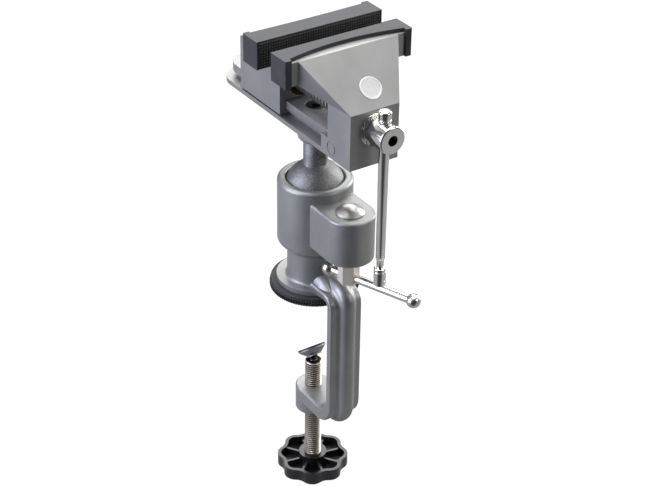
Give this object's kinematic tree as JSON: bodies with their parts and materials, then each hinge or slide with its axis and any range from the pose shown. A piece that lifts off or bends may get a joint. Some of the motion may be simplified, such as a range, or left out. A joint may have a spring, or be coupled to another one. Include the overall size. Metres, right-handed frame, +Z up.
{
  "type": "clamp-on ball-head bench vise",
  "caption": "Clamp-on bench vise: a C-frame grips a table edge with a knob screw, and a locking ball joint carries a swivelling head with a screw-driven sliding jaw.",
  "frame": {"origin": "centre of the underside of the rubber table seat, on the table top, on the common axis of the post, the ball and the clamp screw", "axes": "+Z up along that axis; -Y is the front, where the C-frame's column and the lead screw's head are; the sliding jaw opens along +Y; +X to the right as seen from the front"},
  "size_m": [0.078, 0.157, 0.2927],
  "materials": {
    "cast_silver": "satin silver-grey paint on smooth castings",
    "black_rubber": "matt moulded rubber",
    "jaw_rubber": "matt moulded rubber with a knurled gripping face",
    "zinc_steel": "zinc-plated, satin",
    "plain_steel": "plain machined steel",
    "bright_nickel": "bright nickel plate",
    "bare_casting": "bright grainy cast metal",
    "badge_metal": "plain pale disc",
    "nut_brass": "machined",
    "thread_steel": "oiled machine thread",
    "black_plastic": "glossy moulded plastic"
  },
  "bodies": {
    "frame": {"c_frame": "cast_silver", "table_seat_rubber": "black_rubber", "lock_bolt": "zinc_steel"},
    "ball_seat": {"ball_seat": "plain_steel"},
    "stem": {"ball_stem": "bare_casting", "head_bolt": "plain_steel", "head_bolt_washer": "plain_steel"},
    "head": {"head_body": "cast_silver", "fixed_jaw_pad": "jaw_rubber", "round_badge": "badge_metal"},
    "jaw": {"sliding_jaw": "cast_silver", "sliding_jaw_pad": "jaw_rubber", "jaw_nut": "nut_brass"},
    "lead_screw": {"lead_screw": "bright_nickel", "lead_screw_washer": "bright_nickel", "lead_screw_clip": "plain_steel"},
    "tommy": {"tommy_bar": "bright_nickel", "tommy_cap": "bright_nickel", "tommy_ferrule": "bright_nickel"},
    "lock_wedge": {"lock_wedge": "plain_steel"},
    "lock_nut": {"lock_nut": "zinc_steel"},
    "lock_bar": {"lock_bar": "bright_nickel", "lock_bar_long_ball": "bright_nickel", "lock_bar_short_ball": "bright_nickel"},
    "ball_shoe": {"ball_shoe": "plain_steel"},
    "clamp_carrier": {"pad_thrust_washer": "plain_steel"},
    "clamp_screw": {"clamp_screw": "thread_steel", "clamp_knob": "black_plastic", "knob_screw": "zinc_steel"},
    "swivel_pad": {"swivel_pad": "zinc_steel", "pad_face": "black_rubber", "pad_snap_ring": "plain_steel"}
  },
  "joints": [
    {"name": "ball_swivel", "type": "hinge", "parent": "frame", "child": "ball_seat", "pos_m": [0, 0, 0.0633], "axis": [0, 0, 1], "continuous": true},
    {"name": "ball_tilt", "type": "hinge", "parent": "ball_seat", "child": "stem", "pos_m": [0, 0, 0.0633], "axis": [0, 1, 0], "range_deg": [-40, 40]},
    {"name": "head_turn", "type": "hinge", "parent": "stem", "child": "head", "pos_m": [0, 0, 0.101], "axis": [0, 0, 1], "continuous": true},
    {"name": "screw_spin", "type": "hinge", "parent": "head", "child": "lead_screw", "pos_m": [0, -0.0544, 0.1236], "axis": [0, -1, 0], "range_deg": [-1512, 3240]},
    {"name": "jaw_slide", "type": "slide", "parent": "head", "child": "jaw", "axis": [0, 1, 0], "range_m": [-0.0126, 0.027]},
    {"name": "tommy_slide", "type": "slide", "parent": "lead_screw", "child": "tommy", "axis": [0, 0, 1], "range_m": [0, 0.07]},
    {"name": "lock_lift", "type": "slide", "parent": "frame", "child": "lock_wedge", "axis": [0, 0, 1], "range_m": [-0.00027778, 0.00027778]},
    {"name": "lock_turn", "type": "hinge", "parent": "lock_wedge", "child": "lock_nut", "pos_m": [0, -0.034, 0.0268], "axis": [0, 0, 1], "range_deg": [-100, 100]},
    {"name": "shoe_press", "type": "slide", "parent": "frame", "child": "ball_shoe", "axis": [0, 1, 0], "range_m": [-0.0001, 0.0001]},
    {"name": "lock_bar_slide", "type": "slide", "parent": "lock_nut", "child": "lock_bar", "axis": [0.3616, -0.9323, 0], "range_m": [-0.0012, 0.0039]},
    {"name": "clamp_travel", "type": "slide", "parent": "frame", "child": "clamp_carrier", "axis": [0, 0, 1], "range_m": [-0.0165, 0.032]},
    {"name": "clamp_spin", "type": "hinge", "parent": "clamp_carrier", "child": "clamp_screw", "pos_m": [0, 0, -0.0863], "axis": [0, 0, 1], "range_deg": [-3960, 7680]},
    {"name": "pad_tilt", "type": "hinge", "parent": "clamp_carrier", "child": "swivel_pad", "pos_m": [0, 0, -0.04846], "axis": [1, 0, 0], "range_deg": [0, 80]}
  ],
  "couplings": [
    {"joint": "screw_spin", "follows": "jaw_slide", "rad_per_m": 2094.4},
    {"joint": "lock_turn", "follows": "lock_lift", "rad_per_m": 6283.2},
    {"joint": "shoe_press", "follows": "lock_lift", "ratio": 0.28777},
    {"joint": "clamp_spin", "follows": "clamp_travel", "rad_per_m": 4188.8}
  ]
}
